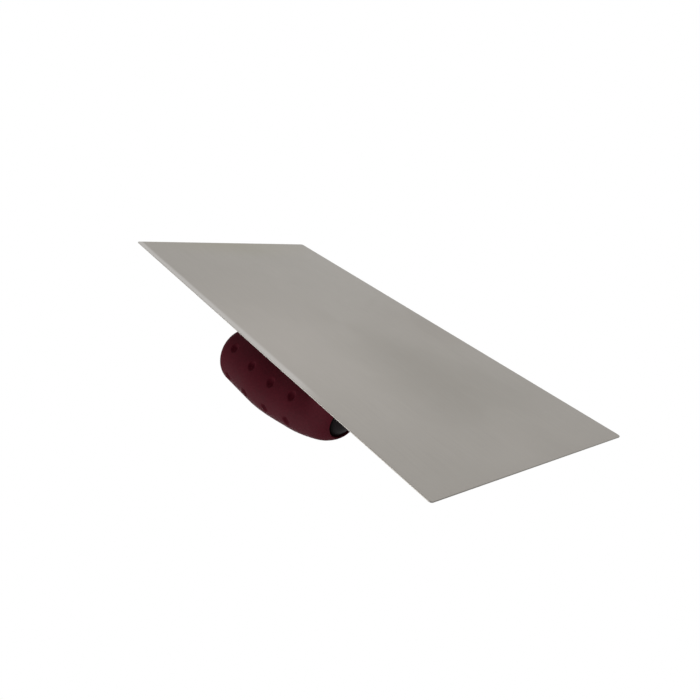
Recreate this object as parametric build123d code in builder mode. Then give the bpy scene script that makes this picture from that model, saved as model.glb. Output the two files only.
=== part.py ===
"""Steel finishing trowel with an open, two-material handle. Millimetres.

+Z is up, away from the working face. +X points to the toe of the blade, and the grip reaches back
towards -X. The origin is the centre of the working face.
"""

import math
import os

from build123d import *

os.makedirs("parts", exist_ok=True)

# ---- Blade ---------------------------------------------------------------------------------------
BLADE_LENGTH = 280.0
BLADE_WIDTH = 130.0
BLADE_THICKNESS = 0.8
BLADE_CORNER_RADIUS = 1.5
BLADE_EDGE_BREAK = 0.2  # the arris is broken all round, so that it doesn't score the plaster

# ---- Handle axis: straight rear run, long shallow bend, tight bend at the nose, upright leg ------
GRIP_REAR_X = -104.9
GRIP_AXIS_Z = 67.5
BEND_START_X = -60.5
BEND_RADIUS = 192.0
BEND_ANGLE = math.radians(18.5)
NOSE_RADIUS = 21.3
LEG_FOOT_Z = 16.0  # where the leg stands on the mounting's boss

# ---- Handle section: ellipses, as half-width across Y and half-height across the axis ------------
REAR_HALF = (18.5, 20.9)
MIDDLE_HALF = (17.2, 18.3)
LEG_HALF = (14.2, 15.7)
TAPER_START = 42.0  # distance from the rear end at which the rear section starts to slim
TAPER_MIDDLE = 84.0  # distance at which it has come down to the middle section
DOME_LENGTH = 12.0  # the rounded rear end

# Where the form is lofted through: shares of the dome, distances past it, and equal spans beyond.
DOME_MARKS = (0.03, 0.12, 0.3, 0.6, 1.0)
REAR_MARKS = (4.0, 9.0, 16.0, 24.0)
BEND_SPANS = 5
NOSE_SPANS = 4
LEG_SPANS = 4
LEAST_SPAN = 1.0

SKIN = 2.8  # grip sleeve over the core
CORE_WALL = 3.0  # core shell round its hollow
HOLLOW_END = 86.0  # distance at which the hollow ends: nose and leg are solid

# ---- Bare arch of the core at the front of the nose and leg --------------------------------------
ARCH_HALF_WIDTH = 10.8
ARCH_RISE = 15.3
ARCH_SPRING_Z = 48.5  # where the half ellipse stands on the straight sides
ARCH_BACK_X = 12.0
ARCH_DEPTH = 2.0  # how far the bare core lies under the sleeve's skin
COLLAR_TOP_Z = 24.0  # full-size foot of the core, which the sleeve ends on

# ---- Dimples for grip, in two rows on each side --------------------------------------------------
# A row has the turn of its first dimple round the section, up from the side, the change of turn from
# each dimple to the next, and the distance of its first dimple from the rear end. Its pitch along the
# axis is longer on the inside of the bend than on the outside.
DIMPLE_COUNT = 4
DIMPLE_ROWS = (
    (math.radians(-36), math.radians(2), 20.9, 24.5),
    (math.radians(25.4), 0, 20.6, 23.4),
)
DIMPLE_RADIUS = 3.4
DIMPLE_DEPTH = 2.0

# ---- Mounting: base, keel, boss and spigot in one casting ----------------------------------------
BASE_REAR_X = -98.0
BASE_FRONT_X = 114.0
BASE_WIDTH = 30.0
BASE_THICKNESS = 2.5
BASE_EDGE_ROUND = 0.8
KEEL_WIDTH = 8.0
KEEL_END_GAP = 8.0
KEEL_TOP_Z = 14.0
KEEL_TOP_ROUND = 1.5
FACES_UP = 0.9  # least upward part of the normal of a face that counts as a top
SPIGOT_LENGTH = 17.0
SPIGOT_WIDTH = 12.0
SPIGOT_CORNER = 3.0
SPIGOT_TOP_Z = 34.0
SOCKET_CLEARANCE = 0.15

# ---- Fastening of the handle: M6 socket screw down the nose, into a nut trapped under the boss ---
SCREW_X = 11.5
SCREW_RADIUS = 3.0
SCREW_LENGTH = 40.0
SCREW_HOLE_RADIUS = 3.3
HEAD_RADIUS = 5.0
HEAD_HEIGHT = 6.0
HEAD_EDGE_BREAK = 0.5
HEX_KEY_FLATS = 5.0
HEX_KEY_DEPTH = 3.0
WASHER_RADIUS = 5.5
WASHER_BORE_RADIUS = 3.2
WASHER_THICKNESS = 1.6
COUNTERBORE_RADIUS = 5.8
COUNTERBORE_FLOOR_Z = 44.0
PLUG_RADIUS = 5.7
PLUG_BOTTOM_Z = 54.0
NUT_FLATS = 10.0
NUT_BORE_RADIUS = 3.03
NUT_THICKNESS = 5.0
NUT_ROOF_Z = 11.0
NUT_POCKET_CLEARANCE = 0.1

# ---- Fastening of the blade: studs welded to its back, closed over the base ----------------------
STUD_X = (-86.0, -56.0, -26.0, 46.0, 74.0, 102.0)
STUD_ROW_Y = 9.5
STUD_RADIUS = 2.0
STUD_HOLE_RADIUS = 2.1
STUD_HEAD_RADIUS = 3.6
STUD_HEAD_HEIGHT = 1.8
STUD_HEAD_ROUND = 1.5

# ---- Worked out ----------------------------------------------------------------------------------
BASE_TOP_Z = BLADE_THICKNESS + BASE_THICKNESS
HEAD_SEAT_Z = COUNTERBORE_FLOOR_Z + WASHER_THICKNESS
CUT_SIZE = 2 * BLADE_LENGTH  # of the blocks that cut through everything

straight_length = BEND_START_X - GRIP_REAR_X
bend_length = BEND_RADIUS * BEND_ANGLE
nose_length = NOSE_RADIUS * (math.pi / 2 - BEND_ANGLE)
nose_start = straight_length + bend_length
leg_start = nose_start + nose_length

bend_centre = Vector(BEND_START_X, 0, GRIP_AXIS_Z - BEND_RADIUS)
bend_end_radial = Vector(math.sin(BEND_ANGLE), 0, math.cos(BEND_ANGLE))
nose_centre = bend_centre + bend_end_radial * (BEND_RADIUS - NOSE_RADIUS)
leg_x = nose_centre.X + NOSE_RADIUS
handle_length = leg_start + nose_centre.Z - LEG_FOOT_Z


def axis_plane(s):
    """Plane across the handle's axis at distance s from its rear end. Local X is +Y, local Y is up."""
    if s <= straight_length:
        pitch = 0.0
        point = Vector(GRIP_REAR_X + s, 0, GRIP_AXIS_Z)
    elif s <= nose_start:
        pitch = (s - straight_length) / BEND_RADIUS
        point = bend_centre + Vector(math.sin(pitch), 0, math.cos(pitch)) * BEND_RADIUS
    elif s <= leg_start:
        pitch = BEND_ANGLE + (s - nose_start) / NOSE_RADIUS
        point = nose_centre + Vector(math.sin(pitch), 0, math.cos(pitch)) * NOSE_RADIUS
    else:
        pitch = math.pi / 2
        point = Vector(leg_x, 0, nose_centre.Z - (s - leg_start))
    return Plane(origin=point, x_dir=(0, 1, 0), z_dir=(math.cos(pitch), 0, -math.sin(pitch)))


def ease(start, stop, share):
    """Smooth step from start to stop as share goes from 0 to 1."""
    t = min(1.0, max(0.0, share))
    return start + (stop - start) * t * t * (3 - 2 * t)


def half_sizes(s):
    """The section's half-width and half-height at distance s, with the rear end not yet rounded."""
    if s <= TAPER_MIDDLE:
        share = (s - TAPER_START) / (TAPER_MIDDLE - TAPER_START)
        return [ease(rear, middle, share) for rear, middle in zip(REAR_HALF, MIDDLE_HALF)]
    share = (s - TAPER_MIDDLE) / (leg_start - TAPER_MIDDLE)
    return [ease(middle, leg, share) for middle, leg in zip(MIDDLE_HALF, LEG_HALF)]


def handle_form(inset, end):
    """The handle's form from its rear end to distance end, drawn inset from the outer skin."""
    dome = DOME_LENGTH - inset
    marks = [inset + dome * share for share in DOME_MARKS]
    marks += [DOME_LENGTH + step for step in REAR_MARKS]
    marks += [straight_length + bend_length * step / BEND_SPANS for step in range(BEND_SPANS + 1)]
    marks += [nose_start + nose_length * step / NOSE_SPANS for step in range(1, NOSE_SPANS + 1)]
    marks += [leg_start + (handle_length - leg_start) * step / LEG_SPANS for step in range(1, LEG_SPANS)]
    marks = [mark for mark in marks if mark < end - LEAST_SPAN] + [end]
    with BuildPart() as form:
        for mark in marks:
            to_go = max(0.0, 1 - (mark - inset) / dome)
            rounding = math.sqrt(1 - to_go**2)
            half_width, half_height = [(half - inset) * rounding for half in half_sizes(mark)]
            with BuildSketch(axis_plane(mark)):
                Ellipse(half_width, half_height)
        loft()
    return form.part


def dimple_place(s, turn):
    """Centre of the ball that cuts the dimple at distance s, turned up from the section's side."""
    half_width, half_height = half_sizes(s)
    surface = Vector(half_width * math.cos(turn), half_height * math.sin(turn))
    outward = Vector(half_height * math.cos(turn), half_width * math.sin(turn)).normalized()
    return axis_plane(s).from_local_coords(surface + outward * (dimple_ball - DIMPLE_DEPTH))


# ---- Blade ---------------------------------------------------------------------------------------
with BuildPart() as blade:
    with BuildSketch():
        RectangleRounded(BLADE_LENGTH, BLADE_WIDTH, BLADE_CORNER_RADIUS)
    extrude(amount=BLADE_THICKNESS)
    chamfer(blade.edges().group_by(Axis.Z)[0], BLADE_EDGE_BREAK)
    chamfer(blade.edges().group_by(Axis.Z)[-1], BLADE_EDGE_BREAK)

# ---- Mounting ------------------------------------------------------------------------------------
stud_places = [(x, side * STUD_ROW_Y) for x in STUD_X for side in (-1, 1)]

with BuildPart() as mounting:
    with BuildSketch(Plane.XY.offset(BLADE_THICKNESS)):
        with Locations(((BASE_REAR_X + BASE_FRONT_X) / 2, 0)):
            SlotOverall(BASE_FRONT_X - BASE_REAR_X, BASE_WIDTH)
    extrude(amount=BASE_THICKNESS)
    fillet(mounting.edges().group_by(Axis.Z)[-1], BASE_EDGE_ROUND)
    with BuildSketch(Plane.XZ):
        with BuildLine():
            Polyline(
                (BASE_REAR_X + KEEL_END_GAP, BASE_TOP_Z),
                (BASE_FRONT_X - KEEL_END_GAP, BASE_TOP_Z),
                (leg_x + LEG_HALF[1], KEEL_TOP_Z),
                (leg_x - LEG_HALF[1], KEEL_TOP_Z),
                close=True,
            )
        make_face()
    extrude(amount=KEEL_WIDTH / 2, both=True)
    keel_tops = mounting.faces().filter_by(lambda face: face.normal_at().Z > FACES_UP)
    keel_tops = keel_tops.filter_by(lambda face: face.center().Z > BASE_TOP_Z + KEEL_TOP_ROUND)
    keel_edges = keel_tops.edges().filter_by(lambda edge: abs(edge.center().Y) > KEEL_WIDTH / 4)
    fillet(keel_edges, KEEL_TOP_ROUND)
    with BuildSketch(Plane.XY.offset(BLADE_THICKNESS)):
        with Locations((leg_x, 0)):
            Ellipse(LEG_HALF[1], LEG_HALF[0])
    extrude(amount=LEG_FOOT_Z - BLADE_THICKNESS)
    with BuildSketch(Plane.XY.offset(LEG_FOOT_Z)):
        with Locations((leg_x, 0)):
            RectangleRounded(SPIGOT_LENGTH, SPIGOT_WIDTH, SPIGOT_CORNER)
    extrude(amount=SPIGOT_TOP_Z - LEG_FOOT_Z)
    with BuildSketch(Plane.XY.offset(BLADE_THICKNESS)):
        with Locations(*stud_places):
            Circle(STUD_HOLE_RADIUS)
    extrude(amount=BASE_THICKNESS, mode=Mode.SUBTRACT)
    with BuildSketch(Plane.XY.offset(BLADE_THICKNESS)):
        with Locations((SCREW_X, 0)):
            RegularPolygon(NUT_FLATS / 2 + NUT_POCKET_CLEARANCE, 6, major_radius=False)
    extrude(amount=NUT_ROOF_Z - BLADE_THICKNESS, mode=Mode.SUBTRACT)
    with BuildSketch(Plane.XY.offset(NUT_ROOF_Z)):
        with Locations((SCREW_X, 0)):
            Circle(SCREW_HOLE_RADIUS)
    extrude(amount=SPIGOT_TOP_Z - NUT_ROOF_Z, mode=Mode.SUBTRACT)

# ---- Studs ---------------------------------------------------------------------------------------
with BuildPart() as mounting_studs:
    with BuildSketch(Plane.XY.offset(BLADE_THICKNESS)):
        with Locations(*stud_places):
            Circle(STUD_RADIUS)
    extrude(amount=BASE_THICKNESS)
    with BuildSketch(Plane.XY.offset(BASE_TOP_Z)):
        with Locations(*stud_places):
            Circle(STUD_HEAD_RADIUS)
    extrude(amount=STUD_HEAD_HEIGHT)
    fillet(mounting_studs.edges().group_by(Axis.Z)[-1], STUD_HEAD_ROUND)

# ---- Core: a hollow grip with a solid nose and leg, split along the middle into two halves -------
outer_form = handle_form(0, handle_length)
core_form = handle_form(SKIN, handle_length)

with BuildPart() as arch_cut:
    with BuildSketch(Plane.YZ.offset(ARCH_BACK_X)):
        with Locations((0, ARCH_SPRING_Z)):
            Ellipse(ARCH_HALF_WIDTH, ARCH_RISE)
            Rectangle(2 * ARCH_HALF_WIDTH, ARCH_SPRING_Z, align=(Align.CENTER, Align.MAX))
    extrude(amount=NOSE_RADIUS + LEG_HALF[1])

with BuildPart() as foot_cut:
    with Locations((leg_x, 0, COLLAR_TOP_Z)):
        Box(CUT_SIZE, CUT_SIZE, COLLAR_TOP_Z, align=(Align.CENTER, Align.CENTER, Align.MAX))

with BuildPart() as bare_arch:
    add(handle_form(ARCH_DEPTH, handle_length))
    add(arch_cut.part, mode=Mode.INTERSECT)

with BuildPart() as collar:
    add(outer_form)
    add(foot_cut.part, mode=Mode.INTERSECT)

with BuildPart() as core:
    add(core_form)
    add(bare_arch.part)
    add(collar.part)
    add(handle_form(SKIN + CORE_WALL, HOLLOW_END), mode=Mode.SUBTRACT)
    with BuildSketch(Plane.XY.offset(LEG_FOOT_Z)):
        with Locations((leg_x, 0)):
            RectangleRounded(
                SPIGOT_LENGTH + 2 * SOCKET_CLEARANCE,
                SPIGOT_WIDTH + 2 * SOCKET_CLEARANCE,
                SPIGOT_CORNER + SOCKET_CLEARANCE,
            )
    extrude(amount=SPIGOT_TOP_Z + SOCKET_CLEARANCE - LEG_FOOT_Z, mode=Mode.SUBTRACT)
    with BuildSketch(Plane.XY.offset(SPIGOT_TOP_Z)):
        with Locations((SCREW_X, 0)):
            Circle(SCREW_HOLE_RADIUS)
    extrude(amount=COUNTERBORE_FLOOR_Z - SPIGOT_TOP_Z, mode=Mode.SUBTRACT)
    with BuildSketch(Plane.XY.offset(COUNTERBORE_FLOOR_Z)):
        with Locations((SCREW_X, 0)):
            Circle(COUNTERBORE_RADIUS)
    extrude(amount=GRIP_AXIS_Z, mode=Mode.SUBTRACT)

with BuildPart() as core_left:
    add(core.part)
    Box(CUT_SIZE, CUT_SIZE, CUT_SIZE, align=(Align.CENTER, Align.MIN, Align.CENTER), mode=Mode.INTERSECT)

with BuildPart() as core_right:
    add(core.part)
    Box(CUT_SIZE, CUT_SIZE, CUT_SIZE, align=(Align.CENTER, Align.MAX, Align.CENTER), mode=Mode.INTERSECT)

# ---- Grip sleeve ---------------------------------------------------------------------------------
dimple_ball = (DIMPLE_RADIUS**2 + DIMPLE_DEPTH**2) / (2 * DIMPLE_DEPTH)
dimple_places = [
    dimple_place(first + pitch * step, side_turn)
    for turn, turn_step, first, pitch in DIMPLE_ROWS
    for step in range(DIMPLE_COUNT)
    for side_turn in (turn + turn_step * step, math.pi - turn - turn_step * step)
]

with BuildPart() as grip_sleeve:
    add(outer_form)
    add(foot_cut.part, mode=Mode.SUBTRACT)
    add(core_form, mode=Mode.SUBTRACT)
    add(arch_cut.part, mode=Mode.SUBTRACT)
    with BuildSketch(Plane.XY.offset(COUNTERBORE_FLOOR_Z)):
        with Locations((SCREW_X, 0)):
            Circle(COUNTERBORE_RADIUS)
    extrude(amount=GRIP_AXIS_Z, mode=Mode.SUBTRACT)
    with Locations(*dimple_places):
        Sphere(dimple_ball, mode=Mode.SUBTRACT)

# ---- Screw, washer, nut and plug -----------------------------------------------------------------
with BuildPart() as handle_screw:
    with BuildSketch(Plane.XY.offset(HEAD_SEAT_Z - SCREW_LENGTH)):
        with Locations((SCREW_X, 0)):
            Circle(SCREW_RADIUS)
    extrude(amount=SCREW_LENGTH)
    chamfer(handle_screw.edges().group_by(Axis.Z)[0], HEAD_EDGE_BREAK)
    with BuildSketch(Plane.XY.offset(HEAD_SEAT_Z)):
        with Locations((SCREW_X, 0)):
            Circle(HEAD_RADIUS)
    extrude(amount=HEAD_HEIGHT)
    chamfer(handle_screw.edges().group_by(Axis.Z)[-1], HEAD_EDGE_BREAK)
    with BuildSketch(Plane.XY.offset(HEAD_SEAT_Z + HEAD_HEIGHT)):
        with Locations((SCREW_X, 0)):
            RegularPolygon(HEX_KEY_FLATS / 2, 6, major_radius=False)
    extrude(amount=-HEX_KEY_DEPTH, mode=Mode.SUBTRACT)

with BuildPart() as screw_washer:
    with BuildSketch(Plane.XY.offset(COUNTERBORE_FLOOR_Z)):
        with Locations((SCREW_X, 0)):
            Circle(WASHER_RADIUS)
            Circle(WASHER_BORE_RADIUS, mode=Mode.SUBTRACT)
    extrude(amount=WASHER_THICKNESS)

with BuildPart() as captive_nut:
    with BuildSketch(Plane.XY.offset(NUT_ROOF_Z)):
        with Locations((SCREW_X, 0)):
            RegularPolygon(NUT_FLATS / 2, 6, major_radius=False)
            Circle(NUT_BORE_RADIUS, mode=Mode.SUBTRACT)
    extrude(amount=-NUT_THICKNESS)

with BuildPart() as screw_plug:
    with BuildSketch(Plane.XY.offset(PLUG_BOTTOM_Z)):
        with Locations((SCREW_X, 0)):
            Circle(PLUG_RADIUS)
    extrude(amount=GRIP_AXIS_Z)
    add(outer_form, mode=Mode.INTERSECT)

# ---- Export --------------------------------------------------------------------------------------
blade.part.label = "blade"
export_step(blade.part, "parts/blade.step")

mounting.part.label = "mounting"
export_step(mounting.part, "parts/mounting.step")

mounting_studs.part.label = "mounting_studs"
export_step(mounting_studs.part, "parts/mounting_studs.step")

core_left.part.label = "core_left"
export_step(core_left.part, "parts/core_left.step")

core_right.part.label = "core_right"
export_step(core_right.part, "parts/core_right.step")

grip_sleeve.part.label = "grip_sleeve"
export_step(grip_sleeve.part, "parts/grip_sleeve.step")

handle_screw.part.label = "handle_screw"
export_step(handle_screw.part, "parts/handle_screw.step")

screw_washer.part.label = "screw_washer"
export_step(screw_washer.part, "parts/screw_washer.step")

captive_nut.part.label = "captive_nut"
export_step(captive_nut.part, "parts/captive_nut.step")

screw_plug.part.label = "screw_plug"
export_step(screw_plug.part, "parts/screw_plug.step")
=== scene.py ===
import math

import bmesh
import bpy
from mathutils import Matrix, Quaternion, Vector
from mathutils.bvhtree import BVHTree


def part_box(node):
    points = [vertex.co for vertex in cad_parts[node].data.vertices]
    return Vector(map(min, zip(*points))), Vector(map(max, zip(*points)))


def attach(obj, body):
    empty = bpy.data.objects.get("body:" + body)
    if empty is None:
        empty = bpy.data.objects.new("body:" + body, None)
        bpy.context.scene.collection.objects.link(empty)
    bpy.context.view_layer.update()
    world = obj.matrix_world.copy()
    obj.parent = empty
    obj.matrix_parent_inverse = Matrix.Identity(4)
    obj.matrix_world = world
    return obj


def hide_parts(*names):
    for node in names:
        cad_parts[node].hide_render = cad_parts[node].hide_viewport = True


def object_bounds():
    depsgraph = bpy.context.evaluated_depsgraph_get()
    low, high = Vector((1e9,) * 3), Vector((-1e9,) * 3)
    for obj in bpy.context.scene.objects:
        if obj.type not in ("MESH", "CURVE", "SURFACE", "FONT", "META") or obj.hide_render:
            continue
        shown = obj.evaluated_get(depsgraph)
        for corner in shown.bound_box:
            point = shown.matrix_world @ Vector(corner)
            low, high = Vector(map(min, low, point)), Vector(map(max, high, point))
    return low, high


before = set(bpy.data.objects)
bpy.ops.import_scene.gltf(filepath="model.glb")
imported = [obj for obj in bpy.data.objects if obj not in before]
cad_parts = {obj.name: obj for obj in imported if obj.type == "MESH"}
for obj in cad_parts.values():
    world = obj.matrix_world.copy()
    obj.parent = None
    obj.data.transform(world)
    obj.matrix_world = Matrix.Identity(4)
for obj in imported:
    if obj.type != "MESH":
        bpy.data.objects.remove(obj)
cad_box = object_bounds()
MM = 0.001  # shapes are drawn in millimetres; materials, lights and camera are in metres

# ---- The handle, as the CAD model has it ---------------------------------------------------------
GRIP_REAR_X, GRIP_AXIS_Z, BEND_START_X = -104.9, 67.5, -60.5
BEND_RADIUS, BEND_ANGLE, NOSE_RADIUS = 192.0, math.radians(18.5), 21.3
LEG_FOOT_Z, COLLAR_TOP_Z = 16.0, 24.0
TAPER_START, TAPER_MIDDLE, DOME_LENGTH = 42.0, 84.0, 12.0
# Half-width and half-height of the oval section at the rear, at TAPER_MIDDLE and in the leg.
REAR_HALF, MIDDLE_HALF, LEG_HALF = (18.5, 20.9), (17.2, 18.3), (14.2, 15.7)
SKIN = 2.8  # grip sleeve over the core
ARCH_HALF_WIDTH, ARCH_RISE, ARCH_SPRING_Z = 10.8, 15.3, 48.5
ARCH_BACK_X, ARCH_DEPTH = 12.0, 2.0
DIMPLE_COUNT, DIMPLE_RADIUS, DIMPLE_DEPTH = 4, 3.4, 2.0
# A row of dimples has the turn of its first one round the section, up from the side, the change of
# turn from each to the next, the distance of the first from the rear end, and the pitch.
DIMPLE_ROWS = (
    (math.radians(-36), math.radians(2), 20.9, 24.5),
    (math.radians(25.4), 0, 20.6, 23.4),
)

# ---- The mounting and the fastenings, as the CAD model has them ----------------------------------
BLADE_TOP_Z, BASE_TOP_Z, KEEL_TOP_Z = 0.8, 3.3, 14.0
BASE_REAR_X, BASE_FRONT_X, BASE_HALF, BASE_EDGE = -98.0, 114.0, 15.0, 0.8
KEEL_HALF, KEEL_END_GAP, KEEL_EDGE = 4.0, 8.0, 1.5
SPIGOT_LENGTH, SPIGOT_WIDTH, SPIGOT_CORNER, SPIGOT_TOP_Z = 17.0, 12.0, 3.0, 34.0
SOCKET_CLEARANCE = 0.15
SCREW_X, SCREW_HOLE_RADIUS = 11.5, 3.3
COUNTERBORE_RADIUS, COUNTERBORE_FLOOR_Z = 5.8, 44.0
NUT_ROOF_Z, NUT_POCKET_FLATS = 11.0, 10.2
STUD_X, STUD_Y, STUD_HOLE_RADIUS = (-86.0, -56.0, -26.0, 46.0, 74.0, 102.0), 9.5, 2.1
PLUG_BOTTOM_Z = 54.0

# ---- Hairline gaps and roundings that only the visual model has ----------------------------------
SLEEVE_GAP = 0.06  # the sleeve's skin under the CAD skin, so that its seam stays inside the CAD box
CORE_GAP = 0.05  # the core under the sleeve, and its collar under the CAD skin
PARTING_GAP = 0.04  # each half of the core from the middle plane
ARRIS = 0.5  # rounding of the moulded edges
SLIVER = 0.001  # what is shorter than this is a fault of a cut, and is dropped

# ---- How far the cutting blocks reach past what they cut -----------------------------------------
CUT_FRONT_X, CUT_TOP_Z, CUT_FOOT_Z = 45.0, 100.0, 10.0
BORE_CUT_Z, SCREW_HOLE_CUT_Z, STUD_HOLE_CUT_Z = (30.0, 60.0), (10.0, 40.0), (0.0, 5.0)
PROBE_X, PROBE_Z = 60.0, 120.0  # where rays start in front of the handle and above it

straight = BEND_START_X - GRIP_REAR_X
nose_start = straight + BEND_RADIUS * BEND_ANGLE
leg_start = nose_start + NOSE_RADIUS * (math.pi / 2 - BEND_ANGLE)
bend_centre = Vector((BEND_START_X, 0, GRIP_AXIS_Z - BEND_RADIUS))
nose_centre = Vector((
    BEND_START_X + (BEND_RADIUS - NOSE_RADIUS) * math.sin(BEND_ANGLE),
    0,
    GRIP_AXIS_Z - BEND_RADIUS + (BEND_RADIUS - NOSE_RADIUS) * math.cos(BEND_ANGLE),
))
leg_x = nose_centre.x + NOSE_RADIUS


def distance_at_height(z):
    """Distance along the handle at which the leg is at height z."""
    return leg_start + nose_centre.z - z


def upward(pitch):
    """The upward direction across the axis, where the axis points down by pitch."""
    return Vector((math.sin(pitch), 0, math.cos(pitch)))


def axis(s):
    """Point and upward direction of the handle's axis at distance s from the rear end."""
    if s <= straight:
        return Vector((GRIP_REAR_X + s, 0, GRIP_AXIS_Z)), Vector((0, 0, 1))
    if s <= nose_start:
        up = upward((s - straight) / BEND_RADIUS)
        return bend_centre + up * BEND_RADIUS, up
    if s <= leg_start:
        up = upward(BEND_ANGLE + (s - nose_start) / NOSE_RADIUS)
        return nose_centre + up * NOSE_RADIUS, up
    return Vector((leg_x, 0, nose_centre.z - (s - leg_start))), Vector((1, 0, 0))


def ease(start, stop, share):
    """Smooth step from start to stop as share goes from 0 to 1."""
    t = min(1.0, max(0.0, share))
    return start + (stop - start) * t * t * (3 - 2 * t)


def half_sizes(s):
    """The section's half-width and half-height at distance s, with the rear end not yet rounded."""
    if s <= TAPER_MIDDLE:
        share = (s - TAPER_START) / (TAPER_MIDDLE - TAPER_START)
        return [ease(rear, middle, share) for rear, middle in zip(REAR_HALF, MIDDLE_HALF)]
    share = (s - TAPER_MIDDLE) / (leg_start - TAPER_MIDDLE)
    return [ease(middle, leg, share) for middle, leg in zip(MIDDLE_HALF, LEG_HALF)]


def skin_point(s, turn, inset):
    """Point on the handle at distance s, turned up from its +Y side, that far under the skin."""
    centre, up = axis(s)
    width, height = half_sizes(s)
    dome = DOME_LENGTH - inset
    to_go = min(1.0, max(0.0, 1 - (s - inset) / dome))
    rounding = math.sqrt(1 - to_go * to_go)
    across = (width - inset) * rounding * math.cos(turn)
    rise = (height - inset) * rounding * math.sin(turn)
    return centre + Vector((0, across, 0)) + up * rise


def skin_normal(s, turn):
    """Outward direction of the section at distance s, turned up from its +Y side."""
    width, height = half_sizes(s)
    up = axis(s)[1]
    return (Vector((0, height * math.cos(turn), 0)) + up * width * math.sin(turn)).normalized()


# ---- Mesh helpers --------------------------------------------------------------------------------
def make(name, verts, faces, smooth):
    """A mesh object from points in millimetres."""
    mesh = bpy.data.meshes.new(name)
    mesh.from_pydata([tuple(Vector(v) * MM) for v in verts], [], faces)
    bm = bmesh.new()
    bm.from_mesh(mesh)
    bmesh.ops.recalc_face_normals(bm, faces=bm.faces)
    bm.to_mesh(mesh)
    bm.free()
    for polygon in mesh.polygons:
        polygon.use_smooth = smooth
    obj = bpy.data.objects.new(name, mesh)
    bpy.context.scene.collection.objects.link(obj)
    return obj


def lofted(name, verts, ring, smooth=True):
    """A closed form through rings of that many points, one ring after another in verts."""
    last = len(verts) - ring
    faces = []
    for row in range(0, last, ring):
        for j in range(ring):
            k = (j + 1) % ring
            faces.append((row + j, row + k, row + ring + k, row + ring + j))
    faces.append(tuple(range(ring)))
    faces.append(tuple(range(last, last + ring)))
    return make(name, verts, faces, smooth)


def boolean(obj, other, operation):
    """Adds other to obj, cuts it out, or keeps what they share. Other is used up."""
    modifier = obj.modifiers.new("boolean", "BOOLEAN")
    modifier.object = other
    modifier.operation = operation
    modifier.solver = "EXACT"
    graph = bpy.context.evaluated_depsgraph_get()
    mesh = bpy.data.meshes.new_from_object(obj.evaluated_get(graph))
    obj.modifiers.clear()
    obj.data = mesh
    bpy.data.objects.remove(other)


def clean(obj):
    """Drops the slivers that booleans leave, and cuts faces of many corners into triangles."""
    bm = bmesh.new()
    bm.from_mesh(obj.data)
    bmesh.ops.remove_doubles(bm, verts=bm.verts, dist=SLIVER * MM)
    bmesh.ops.dissolve_degenerate(bm, dist=SLIVER * MM, edges=bm.edges)
    bmesh.ops.triangulate(bm, faces=[f for f in bm.faces if len(f.verts) > 4], ngon_method="BEAUTY")
    bmesh.ops.dissolve_degenerate(bm, dist=SLIVER * MM, edges=bm.edges)
    bm.to_mesh(obj.data)
    bm.free()


def smooth_by_angle(obj, degrees=35):
    """Smooth shading, but for the edges that turn by more than the angle."""
    for polygon in obj.data.polygons:
        polygon.use_smooth = True
    obj.data.set_sharp_from_angle(angle=math.radians(degrees))


def quarter(steps):
    """The turns of a quarter circle in equal steps, both ends among them."""
    return [math.pi / 2 * i / steps for i in range(steps + 1)]


def body_rows(inset, end, step, dome_rows=16):
    """Distances of the rings of a handle form: close in the dome, then about a step apart."""
    dome = DOME_LENGTH - inset
    turns = [math.pi / 2 * (i + 0.5) / dome_rows for i in range(dome_rows)]
    count = max(2, round((end - DOME_LENGTH) / step))
    rows = [inset + dome * (1 - math.cos(turn)) for turn in turns]
    rows += [DOME_LENGTH + (end - DOME_LENGTH) * i / count for i in range(count + 1)]
    return rows


def handle_form(name, inset, step, ring):
    """The closed handle form, that far under the skin, from its domed rear end to the leg's foot."""
    rows = body_rows(inset, distance_at_height(LEG_FOOT_Z), step)
    verts = [skin_point(s, math.tau * j / ring, inset) for s in rows for j in range(ring)]
    return lofted(name, verts, ring)


def skin_probe(inset):
    """A tree of the handle form, that far under the skin, for rays to meet."""
    form = handle_form("skin_probe", inset, step=0.8, ring=192)
    tree = BVHTree.FromObject(form, bpy.context.evaluated_depsgraph_get())
    bpy.data.objects.remove(form)
    return tree


def first_hit(tree, start, direction):
    """Where a ray from start, which is in millimetres, meets the tree's form, in metres."""
    return tree.ray_cast(Vector(start) * MM, Vector(direction))[0]


def upright(name, outline, low, high):
    """A prism that stands on a closed outline of (x, y) points."""
    verts = [(x, y, z) for z in (low, high) for x, y in outline]
    return lofted(name, verts, len(outline), smooth=False)


def arch_outline(margin, foot_z, points=48):
    """The arch's outline as (y, z): up one side, over the half ellipse and down the other."""
    width, rise = ARCH_HALF_WIDTH + margin, ARCH_RISE + margin
    outline = [(width, foot_z)]
    for i in range(points + 1):
        turn = math.pi * i / points
        outline.append((width * math.cos(turn), ARCH_SPRING_Z + rise * math.sin(turn)))
    outline.append((-width, foot_z))
    return outline


def arch_prism(margin):
    """A block along X with the arch's outline, let out by margin, through the front of the leg."""
    outline = arch_outline(margin, CUT_FOOT_Z)
    verts = [(x, y, z) for x in (ARCH_BACK_X, CUT_FRONT_X) for y, z in outline]
    return lofted("arch_prism", verts, len(outline), smooth=False)


def circle(x, y, radius, points=72):
    turns = [math.tau * i / points for i in range(points)]
    return [(x + radius * math.cos(t), y + radius * math.sin(t)) for t in turns]


def hexagon(x, y, flats):
    return circle(x, y, flats / math.sqrt(3), 6)


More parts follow.
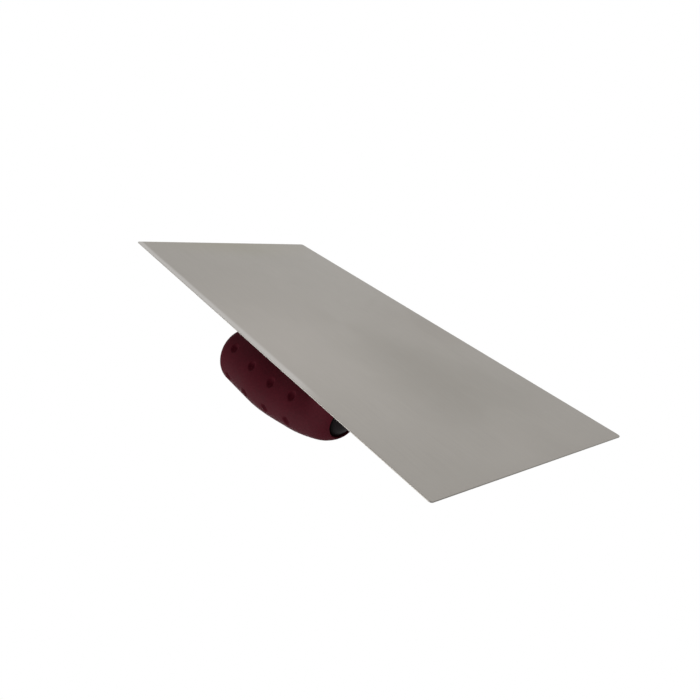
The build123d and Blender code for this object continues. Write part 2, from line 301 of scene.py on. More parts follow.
def rounded_rectangle(x, y, length, width, radius, points=12):
    outline = []
    for k, (sx, sy) in enumerate(((1, 1), (-1, 1), (-1, -1), (1, -1))):
        cx, cy = x + sx * (length / 2 - radius), y + sy * (width / 2 - radius)
        for i in range(points + 1):
            turn = math.pi / 2 * (k + i / points)
            outline.append((cx + radius * math.cos(turn), cy + radius * math.sin(turn)))
    return outline


def counterbore():
    """The block that cuts the way in for the screw's head, through the nose."""
    outline = circle(SCREW_X, 0, COUNTERBORE_RADIUS)
    return upright("counterbore", outline, COUNTERBORE_FLOOR_Z, CUT_TOP_Z)


def divided(outline, step):
    """The outline with points added, so that they are about a step apart."""
    points = []
    for (y0, z0), (y1, z1) in zip(outline, outline[1:]):
        count = max(1, round(math.hypot(y1 - y0, z1 - z0) / step))
        points += [(y0 + (y1 - y0) * i / count, z0 + (z1 - z0) * i / count) for i in range(count)]
    return points + [outline[-1]]


def tube(name, path, radius, ring=14):
    """A closed tube of that radius along a path of points in millimetres."""
    verts = []
    for i, point in enumerate(path):
        ahead, behind = path[min(i + 1, len(path) - 1)], path[max(i - 1, 0)]
        along = (ahead - behind).normalized()
        side = along.cross(Vector((1, 0, 0))).normalized()
        other = along.cross(side)
        for j in range(ring):
            turn = math.tau * j / ring
            verts.append(point + side * radius * math.cos(turn) + other * radius * math.sin(turn))
    return lofted(name, verts, ring)


# ---- Material helpers ----------------------------------------------------------------------------
def material(name):
    """A new material, its node tree, its shader and the object coordinates to paint with."""
    mat = bpy.data.materials.new(name)
    mat.use_nodes = True
    tree = mat.node_tree
    tree.nodes.clear()
    out = tree.nodes.new("ShaderNodeOutputMaterial")
    shader = tree.nodes.new("ShaderNodeBsdfPrincipled")
    tree.links.new(shader.outputs[0], out.inputs[0])
    coords = tree.nodes.new("ShaderNodeTexCoord").outputs["Object"]
    return mat, tree, shader, coords


def feed(tree, socket, value):
    """Sets a socket to a number or a colour, or links it to another node's output."""
    if isinstance(value, (int, float)):
        socket.default_value = value
    elif isinstance(value, tuple):
        socket.default_value = (*value, 1)
    else:
        tree.links.new(value, socket)


def stretched(tree, coords, scale):
    node = tree.nodes.new("ShaderNodeMapping")
    node.inputs["Scale"].default_value = scale
    tree.links.new(coords, node.inputs["Vector"])
    return node.outputs[0]


def length_of(tree, vector):
    node = tree.nodes.new("ShaderNodeVectorMath")
    node.operation = "LENGTH"
    tree.links.new(vector, node.inputs[0])
    return node.outputs["Value"]


def noise(tree, vector, scale, detail=3.0, roughness=0.5, distortion=0.0):
    node = tree.nodes.new("ShaderNodeTexNoise")
    node.inputs["Scale"].default_value = scale
    node.inputs["Detail"].default_value = detail
    node.inputs["Roughness"].default_value = roughness
    node.inputs["Distortion"].default_value = distortion
    tree.links.new(vector, node.inputs["Vector"])
    return node.outputs["Fac"]


def ramp(tree, value, stops):
    """A colour ramp with (position, colour or grey) stops."""
    node = tree.nodes.new("ShaderNodeValToRGB")
    elements = node.color_ramp.elements
    while len(elements) < len(stops):
        elements.new(0.5)
    for element, (position, colour) in zip(elements, stops):
        if isinstance(colour, (int, float)):
            colour = (colour, colour, colour)
        element.position = position
        element.color = (*colour, 1)
    tree.links.new(value, node.inputs[0])
    return node.outputs[0]


def math_node(tree, operation, first, second):
    node = tree.nodes.new("ShaderNodeMath")
    node.operation = operation
    feed(tree, node.inputs[0], first)
    feed(tree, node.inputs[1], second)
    return node.outputs[0]


def mix(tree, factor, first, second, blend="MIX"):
    node = tree.nodes.new("ShaderNodeMix")
    node.data_type = "RGBA"
    node.blend_type = blend
    colour_sockets = node.inputs[6], node.inputs[7]
    feed(tree, node.inputs[0], factor)
    feed(tree, colour_sockets[0], first)
    feed(tree, colour_sockets[1], second)
    return node.outputs[2]


def smooth_range(tree, value, start, stop, low=0.0, high=1.0):
    """A smooth step of value, low at start and high at stop."""
    node = tree.nodes.new("ShaderNodeMapRange")
    node.interpolation_type = "SMOOTHSTEP"
    node.inputs["From Min"].default_value = start
    node.inputs["From Max"].default_value = stop
    node.inputs["To Min"].default_value = low
    node.inputs["To Max"].default_value = high
    tree.links.new(value, node.inputs["Value"])
    return node.outputs[0]


def bump(tree, height, distance, strength, below=None):
    """A bump of that height over another one, if there is one below."""
    node = tree.nodes.new("ShaderNodeBump")
    node.inputs["Distance"].default_value = distance
    node.inputs["Strength"].default_value = strength
    tree.links.new(height, node.inputs["Height"])
    if below is not None:
        tree.links.new(below, node.inputs["Normal"])
    return node.outputs[0]


# ---- Blade steel ---------------------------------------------------------------------------------
# Soft patches of the blade, the first a painted highlight and the others darker: centre, radii and
# tint.
STEEL_PATCHES = (
    ((0.015, 0.055, 0), (0.12, 0.095), (1.12, 1.115, 1.12)),
    ((0.064, -0.007, 0), (0.088, 0.047), (0.91, 0.91, 0.90)),
    ((0.012, -0.056, 0), (0.048, 0.036), (0.93, 0.92, 0.915)),
    ((-0.150, 0.000, 0), (0.050, 0.085), (0.955, 0.955, 0.87)),
)
PATCH_OUTSIDE, PATCH_INSIDE, PATCH_WOBBLE = 1.25, 0.25, 0.5  # in radii of the patch
# The brighter band is measured inward from BAND_Y, and wanders by up to BAND_WANDER. Each fade has
# the place where the band is gone and the place where it is full.
BAND_Y, BAND_WANDER = 0.0646, 0.0008
BAND_INWARD_FADE = (0.0040, 0.0018)
BAND_TOE_FADE = (0.076, 0.044)
BAND_HEIGHT_FADE = (0.0005, 0.0003)


def oval_patch(tree, coords, centre, radii, wobble):
    """A soft-edged oval patch on the blade, 1 at its centre, with an edge that wobble makes uneven."""
    node = tree.nodes.new("ShaderNodeMapping")
    node.vector_type = "TEXTURE"
    node.inputs["Location"].default_value = centre
    node.inputs["Scale"].default_value = (*radii, 1)
    tree.links.new(coords, node.inputs["Vector"])
    uneven = math_node(tree, "MULTIPLY", wobble, PATCH_WOBBLE)
    reach = math_node(tree, "ADD", length_of(tree, node.outputs[0]), uneven)
    return smooth_range(tree, reach, PATCH_OUTSIDE, PATCH_INSIDE)


def bright_band(tree, coords):
    """Where the working face is made brighter: a narrow band along most of its +Y edge."""
    split = tree.nodes.new("ShaderNodeSeparateXYZ")
    tree.links.new(coords, split.inputs[0])
    x, y, z = split.outputs
    uneven = noise(tree, stretched(tree, coords, (22, 1, 1)), 1.0)
    wander = math_node(tree, "MULTIPLY", uneven, BAND_WANDER)
    inward = math_node(tree, "ADD", math_node(tree, "SUBTRACT", BAND_Y, y), wander)
    across = smooth_range(tree, inward, *BAND_INWARD_FADE)
    along = smooth_range(tree, x, *BAND_TOE_FADE)
    below = smooth_range(tree, z, *BAND_HEIGHT_FADE)
    return math_node(tree, "MULTIPLY", math_node(tree, "MULTIPLY", across, along), below)


def ground_steel():
    """Rolled and ground steel, with fine lines along the blade, faint stains, soft darker patches, a
    broad painted highlight and a narrow brighter band."""
    mat, tree, shader, coords = material("ground_steel")
    link = tree.links.new
    lines = noise(tree, stretched(tree, coords, (30, 2600, 2600)), 1.0, detail=5, roughness=0.65)
    stains = noise(tree, stretched(tree, coords, (13, 18, 18)), 1.0, detail=5, distortion=0.6)
    marks = noise(tree, coords, 140, detail=6, roughness=0.7)
    tone = ramp(tree, stains, [(0.30, (0.386, 0.364, 0.334)), (0.70, (0.428, 0.404, 0.373))])
    tone = mix(tree, 0.22, tone, ramp(tree, lines, [(0.3, 0.80), (0.7, 1.12)]), "MULTIPLY")
    tone = mix(tree, 0.08, tone, ramp(tree, marks, [(0.35, 0.7), (0.65, 1.2)]), "MULTIPLY")
    # The first patch paints a broad highlight, a pool of reflected light, into the steel's colour; the
    # others darken it.
    for centre, radii, tint in STEEL_PATCHES:
        tone = mix(tree, oval_patch(tree, coords, centre, radii, stains), tone, tint, "MULTIPLY")
    # A narrow band along most of the +Y edge of the working face is made brighter here.
    tone = mix(tree, bright_band(tree, coords), tone, (0.57, 0.55, 0.525))
    link(tone, shader.inputs["Base Color"])
    rough = ramp(tree, stains, [(0.25, 0.52), (0.75, 0.58)])
    rough = mix(tree, 0.20, rough, ramp(tree, marks, [(0.3, 0.35), (0.7, 0.75)]))
    link(rough, shader.inputs["Roughness"])
    shader.inputs["Metallic"].default_value = 0.85
    shader.inputs["Anisotropic"].default_value = 0.3
    fine = bump(tree, lines, 0.00002, 0.35)
    link(bump(tree, marks, 0.00003, 0.25, fine), shader.inputs["Normal"])
    return mat


# ---- Other materials -----------------------------------------------------------------------------
def cast_alloy():
    """Sand-blasted aluminium casting, with a grainy skin and darker hollows."""
    mat, tree, shader, coords = material("cast_alloy")
    link = tree.links.new
    grain = noise(tree, coords, 1500, detail=4, roughness=0.6)
    cloud = noise(tree, coords, 60, detail=4)
    tone = ramp(tree, cloud, [(0.3, (0.40, 0.40, 0.41)), (0.7, (0.52, 0.52, 0.53))])
    tone = mix(tree, 0.3, tone, ramp(tree, grain, [(0.3, 0.75), (0.7, 1.15)]), "MULTIPLY")
    link(tone, shader.inputs["Base Color"])
    link(ramp(tree, grain, [(0.3, 0.38), (0.7, 0.56)]), shader.inputs["Roughness"])
    shader.inputs["Metallic"].default_value = 1.0
    fine = bump(tree, grain, 0.00012, 0.5)
    link(bump(tree, cloud, 0.0003, 0.4, fine), shader.inputs["Normal"])
    return mat


def plated_steel():
    """Zinc-plated fastener steel with a faint warm and cool bloom."""
    mat, tree, shader, coords = material("plated_steel")
    link = tree.links.new
    bloom = noise(tree, coords, 220, detail=3)
    specks = noise(tree, coords, 2200, detail=3)
    tone = ramp(tree, bloom, [(0.3, (0.50, 0.50, 0.47)), (0.7, (0.58, 0.59, 0.62))])
    link(tone, shader.inputs["Base Color"])
    link(ramp(tree, specks, [(0.3, 0.26), (0.7, 0.42)]), shader.inputs["Roughness"])
    shader.inputs["Metallic"].default_value = 1.0
    link(bump(tree, specks, 0.00004, 0.4), shader.inputs["Normal"])
    return mat


def grip_rubber():
    """Soft-touch moulded rubber: dark wine red, cloudy and finely grained, with a trace of sheen."""
    mat, tree, shader, coords = material("grip_rubber")
    link = tree.links.new
    grain = noise(tree, coords, 2600, detail=3, roughness=0.6)
    pebble = noise(tree, coords, 700, detail=2)
    cloud = noise(tree, coords, 38, detail=4, distortion=0.4)
    tone = ramp(tree, cloud, [(0.3, (0.058, 0.0042, 0.0094)), (0.7, (0.070, 0.0056, 0.0118))])
    tone = mix(tree, 0.35, tone, ramp(tree, pebble, [(0.35, 0.75), (0.65, 1.2)]), "MULTIPLY")
    link(tone, shader.inputs["Base Color"])
    link(ramp(tree, cloud, [(0.3, 0.56), (0.7, 0.70)]), shader.inputs["Roughness"])
    shader.inputs["Specular IOR Level"].default_value = 0.035
    shader.inputs["Sheen Weight"].default_value = 0.005
    shader.inputs["Sheen Roughness"].default_value = 0.4
    shader.inputs["Sheen Tint"].default_value = (0.9, 0.45, 0.5, 1)
    fine = bump(tree, grain, 0.00005, 0.5)
    link(bump(tree, pebble, 0.00010, 0.35, fine), shader.inputs["Normal"])
    return mat


def core_plastic():
    """Black moulded plastic with a spark-eroded texture and a low gloss."""
    mat, tree, shader, coords = material("core_plastic")
    link = tree.links.new
    grain = noise(tree, coords, 3200, detail=4, roughness=0.65)
    cloud = noise(tree, coords, 90, detail=3)
    tone = ramp(tree, cloud, [(0.3, (0.0095, 0.0066, 0.0076)), (0.7, (0.0135, 0.0098, 0.0110))])
    link(tone, shader.inputs["Base Color"])
    link(ramp(tree, grain, [(0.3, 0.36), (0.7, 0.52)]), shader.inputs["Roughness"])
    shader.inputs["Specular IOR Level"].default_value = 0.07
    link(bump(tree, grain, 0.00006, 0.5), shader.inputs["Normal"])
    return mat


steel, alloy, plated, rubber, plastic = (
    ground_steel(), cast_alloy(), plated_steel(), grip_rubber(), core_plastic()
)


def paint(obj, mat):
    obj.data.materials.clear()
    obj.data.materials.append(mat)


def finish_piece(obj, mat, node):
    """Paints a piece, hangs it on the root body, and hides the CAD node that it stands for."""
    paint(obj, mat)
    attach(obj, "root")
    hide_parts(node)


# ---- Grip sleeve ---------------------------------------------------------------------------------
RIM_RADIUS = 0.5
DIMPLE_REACH = 5.0  # further from its centre than this, a dimple leaves the skin alone
DIMPLE_LIP = 0.012  # softens the lip of a dimple, in square millimetres
SEAM_HEIGHT, SEAM_WIDTH, SEAM_START = 0.05, 0.22, 6.0
dimples = [
    (first + pitch * step, side_turn)
    for turn, turn_step, first, pitch in DIMPLE_ROWS
    for step in range(DIMPLE_COUNT)
    for side_turn in (turn + turn_step * step, math.pi - turn - turn_step * step)
]
dimple_centres = [(skin_point(s, turn, 0), skin_normal(s, turn)) for s, turn in dimples]


def dimple_inset(point):
    """How far the dished surface lies under the skin at a point on it."""
    inset = 0.0
    for centre, normal in dimple_centres:
        away = point - centre
        if away.length > DIMPLE_REACH:
            continue
        share = (away - normal * away.dot(normal)).length / DIMPLE_RADIUS
        dish = DIMPLE_DEPTH * (1 - share**2)
        inset = max(inset, (dish + math.sqrt(dish * dish + DIMPLE_LIP)) / 2)
    return inset


def seam_height(s, turn):
    """Height of the mould's seam along the middle plane, which fades in from the rear end."""
    off_seam = abs(math.cos(turn)) * half_sizes(s)[0] / SEAM_WIDTH
    return SEAM_HEIGHT * math.exp(-(off_seam**2)) * min(1, s / SEAM_START)


def sleeve_mesh():
    """The skin with its dimples and seam, the rounded edge at its foot, and the inside."""
    ring = 256
    turns = [math.tau * j / ring for j in range(ring)]
    end = distance_at_height(COLLAR_TOP_Z + SLEEVE_GAP)
    verts = []
    for s in body_rows(SLEEVE_GAP, end - ARRIS, step=0.5):
        for turn in turns:
            point = skin_point(s, turn, SLEEVE_GAP)
            inset = dimple_inset(point) - seam_height(s, turn)
            verts.append(point - skin_normal(s, turn) * inset)
    for bend in quarter(6)[1:]:
        s = end - ARRIS + ARRIS * math.sin(bend)
        inset = SLEEVE_GAP + ARRIS * (1 - math.cos(bend))
        verts += [skin_point(s, turn, inset) for turn in turns]
    for s in body_rows(SKIN, end, step=2.2)[::-1]:
        verts += [skin_point(s, turn, SKIN) for turn in turns]
    return lofted("grip_sleeve_skin", verts, ring)


sleeve = sleeve_mesh()
boolean(sleeve, arch_prism(RIM_RADIUS), "DIFFERENCE")
boolean(sleeve, counterbore(), "DIFFERENCE")
clean(sleeve)
smooth_by_angle(sleeve)
finish_piece(sleeve, rubber, "grip_sleeve")

# ---- Rolled rim of the sleeve round the bare arch ------------------------------------------------
RIM_FOOT_GAP, RIM_STEP = 0.1, 0.5
rim_probe = skin_probe(RIM_RADIUS + SLEEVE_GAP)
rim_outline = arch_outline(RIM_RADIUS, COLLAR_TOP_Z + RIM_FOOT_GAP, 96)
rim_path = [
    first_hit(rim_probe, (PROBE_X, y, z), (-1, 0, 0)) / MM for y, z in divided(rim_outline, RIM_STEP)
]
rim = tube("grip_sleeve_rim", rim_path, RIM_RADIUS)
finish_piece(rim, rubber, "grip_sleeve")

# ---- Core: both halves from one form, parted on the middle plane ---------------------------------
PAD_MARGIN = 0.3  # the bare pad in the arch reaches this far under the rim
COLLAR_FOOT_GAP, COLLAR_ROWS = 0.02, 8
ON_PLANE = 1e-7  # metres: what is nearer to the cutting plane than this is on it


def collar_mesh():
    """The core's full-size foot, with both of its edges rounded."""
    ring = 192
    top, foot = distance_at_height(COLLAR_TOP_Z), distance_at_height(LEG_FOOT_Z + COLLAR_FOOT_GAP)
    side = foot - top - 2 * ARRIS
    edge = [(ARRIS * (1 - math.sin(t)), CORE_GAP + ARRIS * (1 - math.cos(t))) for t in quarter(6)]
    rows = [(top + back, inset) for back, inset in edge[::-1]]
    rows += [(top + ARRIS + side * i / COLLAR_ROWS, CORE_GAP) for i in range(1, COLLAR_ROWS + 1)]
    rows += [(foot - back, inset) for back, inset in edge[1:]]
    verts = [skin_point(s, math.tau * j / ring, inset) for s, inset in rows for j in range(ring)]
    return lofted("collar", verts, ring)


def socket_block():
    """The block that cuts the core's socket for the mounting's spigot."""
    outline = rounded_rectangle(
        leg_x, 0,
        SPIGOT_LENGTH + 2 * SOCKET_CLEARANCE,
        SPIGOT_WIDTH + 2 * SOCKET_CLEARANCE,
        SPIGOT_CORNER + SOCKET_CLEARANCE,
    )
    return upright("socket", outline, CUT_FOOT_Z, SPIGOT_TOP_Z + SOCKET_CLEARANCE)


def half_of(obj, name, side):
    """The part of obj on one side of the middle plane, closed, with a hairline parting gap."""
    bm = bmesh.new()
    bm.from_mesh(obj.data)
    bmesh.ops.bisect_plane(
        bm, geom=bm.verts[:] + bm.edges[:] + bm.faces[:], dist=ON_PLANE,
        plane_co=(0, side * PARTING_GAP * MM, 0), plane_no=(0, -side, 0), clear_outer=True,
    )
    bmesh.ops.holes_fill(bm, edges=[e for e in bm.edges if e.is_boundary], sides=0)
    bmesh.ops.recalc_face_normals(bm, faces=bm.faces)
    mesh = bpy.data.meshes.new(name)
    bm.to_mesh(mesh)
    bm.free()
    half = bpy.data.objects.new(name, mesh)
    bpy.context.scene.collection.objects.link(half)
    clean(half)
    smooth_by_angle(half)
    return half


core = handle_form("core", SKIN + CORE_GAP, step=1.2, ring=128)
pad = handle_form("pad", ARCH_DEPTH, step=0.6, ring=288)
screw_bore = circle(SCREW_X, 0, SCREW_HOLE_RADIUS)
boolean(pad, arch_prism(PAD_MARGIN), "INTERSECT")
boolean(core, pad, "UNION")
boolean(core, collar_mesh(), "UNION")
boolean(core, socket_block(), "DIFFERENCE")
boolean(core, upright("screw_bore", screw_bore, *BORE_CUT_Z), "DIFFERENCE")
boolean(core, counterbore(), "DIFFERENCE")
for node, side in (("core_left", 1), ("core_right", -1)):
    half = half_of(core, f"{node}_shell", side)
    finish_piece(half, plastic, node)
bpy.data.objects.remove(core)

# ---- Screw plug ----------------------------------------------------------------------------------
PLUG_RADIUS, PLUG_ARRIS = 5.68, 0.45
PLUG_RINGS, PLUG_RING_GAP = 13, 0.4
plug_probe = skin_probe(SLEEVE_GAP)


def skin_height(x, y):
    """Height of the nose's skin, in millimetres."""
    return first_hit(plug_probe, (x, y, PROBE_Z), (0, 0, -1)).z / MM


def plug_mesh():
    """The plug: its top follows the nose, with a rounded edge, and its bottom is flat."""
    ring = 96
    profile = [(PLUG_RING_GAP * i, 0.0) for i in range(1, PLUG_RINGS + 1)]
    profile += [
        (PLUG_RADIUS - PLUG_ARRIS + PLUG_ARRIS * math.sin(turn), PLUG_ARRIS * (1 - math.cos(turn)))
        for turn in quarter(6)
    ]
    verts = []
    for reach, drop in profile:
        for x, y in circle(SCREW_X, 0, reach, ring):
            verts.append((x, y, skin_height(x, y) - drop))
    verts += [(x, y, PLUG_BOTTOM_Z) for x, y in circle(SCREW_X, 0, PLUG_RADIUS, ring)]
    return lofted("screw_plug_cap", verts, ring)


plug = plug_mesh()
smooth_by_angle(plug)
finish_piece(plug, rubber, "screw_plug")

# ---- Blade ---------------------------------------------------------------------------------------
BLADE_CORNER, BLADE_LEAST_CORNER, BLADE_ARRIS = 1.5, 0.3, 0.22
# The working face is worn towards its edges: how far in from the edge, and how far up.
WORN_EDGE = ((6.0, 0.0), (4.5, 0.005), (3.0, 0.02), (1.5, 0.05), (0.7, 0.07))
WORN_HEIGHT = 0.08


def blade_mesh():
    """The plate, with its working face worn towards the edges and its arrises rounded."""
    low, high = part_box("blade")
    length, width, thick = (c / MM for c in high - low)
    arris, turns = BLADE_ARRIS, quarter(5)
    profile = list(WORN_EDGE)
    profile += [(arris * (1 - math.sin(t)), WORN_HEIGHT + arris * (1 - math.cos(t))) for t in turns]
    profile += [(arris * (1 - math.cos(t)), thick - arris + arris * math.sin(t)) for t in turns]
    profile.append((WORN_EDGE[0][0], thick))
    verts = []
    for inset, z in profile:
        corner = max(BLADE_LEAST_CORNER, BLADE_CORNER - inset)
        loop = rounded_rectangle(0, 0, length - 2 * inset, width - 2 * inset, corner, 10)
        verts += [(x, y, z) for x, y in loop]
    return lofted("blade_plate", verts, len(loop))


plate = blade_mesh()
smooth_by_angle(plate, 30)
finish_piece(plate, steel, "blade")

# ---- Mounting: cross-sections lofted along the blade, then the spigot, pocket and holes ----------
KEEL_REAR_X, KEEL_FRONT_X = BASE_REAR_X + KEEL_END_GAP, BASE_FRONT_X - KEEL_END_GAP
BOSS_HALF_WIDTH, BOSS_HALF_LENGTH = LEG_HALF
BOSS_EDGE = 0.4
BOSS_BEGINS, BOSS_BLEND = 3.0, 1.5  # half-width of the boss at which its top starts, and its climb
BOSS_BRIM, BOSS_FALL = 0.99, 0.08  # where the boss's top ends and how soon it falls, in its half-sizes
KEEL_FOOT_ROUND = 1.5
ROUND_SHARE = 0.45  # a rounding takes at most this share of the height from deck to crest
JOINT_REACH, JOINT_SWELL = 3.0, 0.75  # where the keel's sides run into the boss
DECK_STEP, DECK_MARGIN = 0.3, 0.35  # how far the section's points stay inside the deck's edge
CREST_SHARES = (0.85, 0.7, 0.5, 0.25, 0.0)  # points over the top, as shares of its half-width
TIP_CUTS, TIP_START, BOSS_CUTS, KEEL_CUTS = 18, 0.2, 48, 16
FLANK_GAPS = (0.15, 0.35, 0.6, 1.0, 1.6, 2.4, 4.0)  # sections just behind and in front of the boss
SPIGOT_OVERLAP = 0.1


def past_end(x):
    """How far x lies beyond the centre of the base's round end."""
    return max(BASE_REAR_X + BASE_HALF - x, x - BASE_FRONT_X + BASE_HALF, 0.0)


def slot_half(x, inset):
    """Half-width at x of the base's outline, a slot, drawn in by inset."""
    return math.sqrt(max(0.0, (BASE_HALF - inset) ** 2 - past_end(x) ** 2))


def boss_half(x):
    """Half-width at x of the boss's oval."""
    return BOSS_HALF_WIDTH * math.sqrt(max(0.0, 1 - ((x - leg_x) / BOSS_HALF_LENGTH) ** 2))


def crest(x):
    """Height of the keel's crest at x: it climbs from both ends of the base to the boss."""
    rear = (x - KEEL_REAR_X) / (leg_x - BOSS_HALF_LENGTH - KEEL_REAR_X)
    front = (KEEL_FRONT_X - x) / (KEEL_FRONT_X - leg_x - BOSS_HALF_LENGTH)
    return BASE_TOP_Z + (KEEL_TOP_Z - BASE_TOP_Z) * min(1.0, max(0.0, min(rear, front)))


def casting_section(x):
    """Half of the casting's cross-section at x, as (y, z) from its foot up to its crest."""
    section = [(slot_half(x, 0), BLADE_TOP_Z)]
    for turn in quarter(5):
        inset = min(BASE_EDGE * (1 - math.cos(turn)), BASE_HALF - past_end(x))
        rise = math.sqrt(BASE_EDGE**2 - (BASE_EDGE - inset) ** 2)
        section.append((slot_half(x, inset), BASE_TOP_Z - BASE_EDGE + rise))
    deck_half, deck = section[-1]
    in_boss = (boss_half(x) - BOSS_BEGINS) / BOSS_BLEND
    top = ease(crest(x), LEG_FOOT_Z, in_boss) + deck - BASE_TOP_Z
    joint = max(0.0, 1 - abs(boss_half(x) - KEEL_HALF) / JOINT_REACH)
    half = max(boss_half(x), KEEL_HALF) + JOINT_SWELL * joint**2
    most = ROUND_SHARE * (top - deck)
    foot = min(KEEL_FOOT_ROUND, most)
    edge = min(ease(KEEL_EDGE, BOSS_EDGE, in_boss), most)
    riser = [(half + foot + DECK_STEP, deck)]
    riser += [(half + foot * (1 - math.sin(t)), deck + foot * (1 - math.cos(t))) for t in quarter(6)]
    riser += [(half - edge * (1 - math.cos(t)), top - edge * (1 - math.sin(t))) for t in quarter(5)]
    for share in CREST_SHARES:
        y = (half - edge) * share
        reach = math.hypot((x - leg_x) / BOSS_HALF_LENGTH, y / BOSS_HALF_WIDTH)
        riser.append((y, max(top, ease(LEG_FOOT_Z, 0.0, (reach - BOSS_BRIM) / BOSS_FALL))))
    section.append((max(0.0, deck_half - DECK_STEP), deck))
    return section + [(min(y, max(0.0, deck_half - DECK_MARGIN)), z) for y, z in riser]


def casting_stations():
    """Places along the blade at which the casting is cut: close at its round ends and at the boss."""
    turns = [math.pi / 2 * (i + TIP_START) / TIP_CUTS for i in range(TIP_CUTS)]
    tips = [BASE_HALF * (1 - math.cos(turn)) for turn in turns]
    swings = [math.sin(math.pi * (i / BOSS_CUTS - 0.5)) for i in range(BOSS_CUTS + 1)]
    boss = [leg_x + BOSS_HALF_LENGTH * swing for swing in swings]
    places = [BASE_REAR_X + tip for tip in tips] + [BASE_FRONT_X - tip for tip in tips] + boss
    places += [boss[0] - gap for gap in FLANK_GAPS] + [boss[-1] + gap for gap in FLANK_GAPS]
    keel_spans = (
        (BASE_REAR_X + BASE_HALF, boss[0] - FLANK_GAPS[-1]),
        (boss[-1] + FLANK_GAPS[-1], BASE_FRONT_X - BASE_HALF),
    )
    for start, stop in keel_spans:
        places += [start + (stop - start) * i / KEEL_CUTS for i in range(KEEL_CUTS)]
    return sorted(places)


def casting_mesh():
    """The base, keel and boss in one form."""
    verts = []
    for x in casting_stations():
        section = casting_section(x)
        loop = section + [(-y, z) for y, z in section[-2::-1]]
        verts += [(x, y, z) for y, z in loop]
    return lofted("mounting_casting", verts, len(loop))


casting = casting_mesh()
spigot = rounded_rectangle(leg_x, 0, SPIGOT_LENGTH, SPIGOT_WIDTH, SPIGOT_CORNER)
nut_pocket = hexagon(SCREW_X, 0, NUT_POCKET_FLATS)
screw_hole = circle(SCREW_X, 0, SCREW_HOLE_RADIUS)
boolean(casting, upright("spigot", spigot, LEG_FOOT_Z - SPIGOT_OVERLAP, SPIGOT_TOP_Z), "UNION")
boolean(casting, upright("nut_pocket", nut_pocket, 0, NUT_ROOF_Z), "DIFFERENCE")
boolean(casting, upright("screw_hole", screw_hole, *SCREW_HOLE_CUT_Z), "DIFFERENCE")
for x in STUD_X:
    for y in (-STUD_Y, STUD_Y):
        stud_hole = circle(x, y, STUD_HOLE_RADIUS, 32)
        boolean(casting, upright("stud_hole", stud_hole, *STUD_HOLE_CUT_Z), "DIFFERENCE")
clean(casting)
smooth_by_angle(casting)
finish_piece(casting, alloy, "mounting")

# ---- Fasteners: the CAD nodes are right as they are ----------------------------------------------
for node in ("mounting_studs", "handle_screw", "screw_washer", "captive_nut"):
    paint(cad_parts[node], plated)

# ---- Floor: seen from above only, so that the working face can be looked at from below -----------
FLOOR_HALF, FLOOR_GAP = 4.0, 0.0002
FLOOR_FADE_START, FLOOR_FADE_STOP = 0.15, 1.3


def studio_floor():
    """Pale floor that fades to the white of the backdrop, and lets everything through from below."""
    mat, tree, shader, coords = material("studio_floor")
    link = tree.links.new
    shader.inputs["Base Color"].default_value = (0.88, 0.88, 0.88, 1)
    shader.inputs["Roughness"].default_value = 0.9
    shader.inputs["Specular IOR Level"].default_value = 0.1
    fade = smooth_range(tree, length_of(tree, coords), FLOOR_FADE_START, FLOOR_FADE_STOP)
    glow = tree.nodes.new("ShaderNodeEmission")
    through = tree.nodes.new("ShaderNodeBsdfTransparent")
    faded, chosen = tree.nodes.new("ShaderNodeMixShader"), tree.nodes.new("ShaderNodeMixShader")
    link(fade, faded.inputs[0])
    link(shader.outputs[0], faded.inputs[1])
    link(glow.outputs[0], faded.inputs[2])
    link(tree.nodes.new("ShaderNodeNewGeometry").outputs["Backfacing"], chosen.inputs[0])
    link(faded.outputs[0], chosen.inputs[1])
    link(through.outputs[0], chosen.inputs[2])
    link(chosen.outputs[0], tree.nodes["Material Output"].inputs[0])
    return mat


corners = [(-1, -1, 0), (1, -1, 0), (1, 1, 0), (-1, 1, 0)]
floor_verts = [Vector(corner) * FLOOR_HALF / MM for corner in corners]
floor = make("studio_floor", floor_verts, [(0, 1, 2, 3)], smooth=True)
floor.location.z = cad_box[0].z - FLOOR_GAP
floor.data.materials.append(studio_floor())
floor.visible_shadow = False
floor.visible_diffuse = False
floor.visible_glossy = False

# ---- Light: a white backdrop, a soft glow from below, and softboxes ------------------------------
GLOW_FROM = Vector((-0.50, -0.46, -0.73)).normalized()
GLOW_START, GLOW_STOP, GLOW_LEAST, GLOW_MOST = -0.25, 0.35, 0.45, 0.845
HANDLE_MIDDLE = (0, 0, 0.03)
# Name, place, what it points at, diameter and power in watts.
SOFTBOXES = (
    ("key", (-0.25, 1.0, 0.95), HANDLE_MIDDLE, 0.7, 6.8),
    ("side", (-0.9, 0.8, 0.8), HANDLE_MIDDLE, 0.7, 2.2),
    ("top", (-0.6, 0.3, 1.35), HANDLE_MIDDLE, 1.0, 1.2),
    ("fill", (-1.0, -0.7, 0.8), HANDLE_MIDDLE, 1.0, 9),
    ("below", (-0.65, -0.68, -0.60), (0, 0, 0), 1.2, 0.5),
)


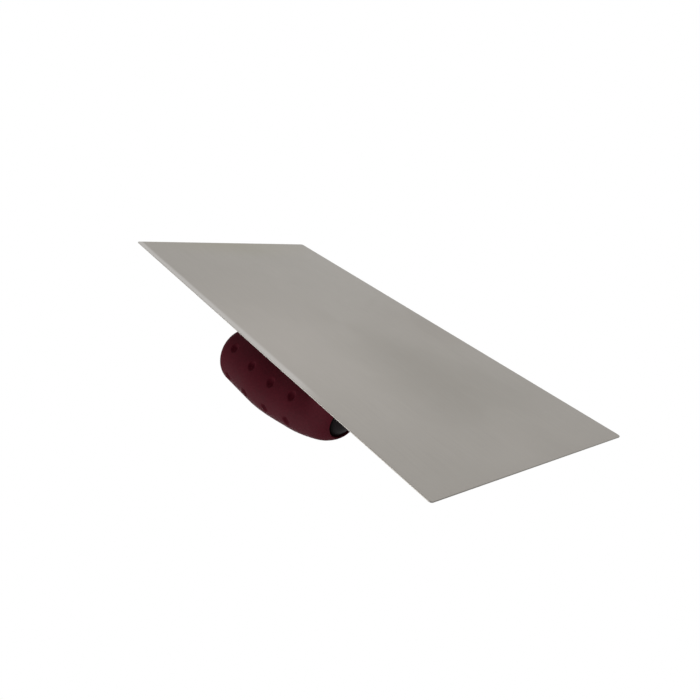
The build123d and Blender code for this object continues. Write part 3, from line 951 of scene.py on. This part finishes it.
def studio_world():
    """Plain white where the camera sees it, while its light is strongest towards GLOW_FROM."""
    world = bpy.data.worlds.new("studio")
    world.use_nodes = True
    tree = world.node_tree
    link = tree.links.new
    tree.nodes.clear()
    seen, lit = tree.nodes.new("ShaderNodeBackground"), tree.nodes.new("ShaderNodeBackground")
    for background in (seen, lit):
        background.inputs["Color"].default_value = (1, 1, 1, 1)
    toward = tree.nodes.new("ShaderNodeVectorMath")
    toward.operation = "DOT_PRODUCT"
    toward.inputs[1].default_value = GLOW_FROM
    link(tree.nodes.new("ShaderNodeTexCoord").outputs["Generated"], toward.inputs[0])
    glow = smooth_range(tree, toward.outputs["Value"], GLOW_START, GLOW_STOP, GLOW_LEAST, GLOW_MOST)
    link(glow, lit.inputs["Strength"])
    choose, out = tree.nodes.new("ShaderNodeMixShader"), tree.nodes.new("ShaderNodeOutputWorld")
    link(tree.nodes.new("ShaderNodeLightPath").outputs["Is Camera Ray"], choose.inputs[0])
    link(lit.outputs[0], choose.inputs[1])
    link(seen.outputs[0], choose.inputs[2])
    link(choose.outputs[0], out.inputs[0])
    return world


def softbox(name, position, target, size, power):
    light = bpy.data.lights.new(name, "AREA")
    light.shape = "DISK"
    light.size = size
    light.energy = power
    obj = bpy.data.objects.new(name, light)
    obj.location = position
    obj.rotation_mode = "QUATERNION"
    obj.rotation_quaternion = (Vector(target) - Vector(position)).to_track_quat("-Z", "Y")
    bpy.context.scene.collection.objects.link(obj)


bpy.context.scene.world = studio_world()
for box in SOFTBOXES:
    softbox(*box)

# ---- Camera: where the photograph was taken from, below the blade and nearly upside down ---------
AZIMUTH, ELEVATION, ROLL = (math.radians(angle) for angle in (132.761, -23.3, -166.572))
AIM, CAMERA_DISTANCE = Vector((9.2, -2.1, 12.3)) * MM, 0.3507
SENSOR_WIDTH, FOCAL_LENGTH, NEAREST_SEEN = 36, 32.07, 0.01

back = Vector((
    math.sin(AZIMUTH) * math.cos(ELEVATION),
    -math.cos(AZIMUTH) * math.cos(ELEVATION),
    math.sin(ELEVATION),
))
data = bpy.data.cameras.new("camera")
data.sensor_width = SENSOR_WIDTH
data.lens = FOCAL_LENGTH
data.clip_start = NEAREST_SEEN
camera = bpy.data.objects.new("camera", data)
camera.location = AIM + back * CAMERA_DISTANCE
camera.rotation_mode = "QUATERNION"
camera.rotation_quaternion = (-back).to_track_quat("-Z", "Y") @ Quaternion((0, 0, 1), ROLL)
bpy.context.scene.collection.objects.link(camera)
bpy.context.scene.camera = camera
bpy.context.scene.view_settings.view_transform = "Standard"
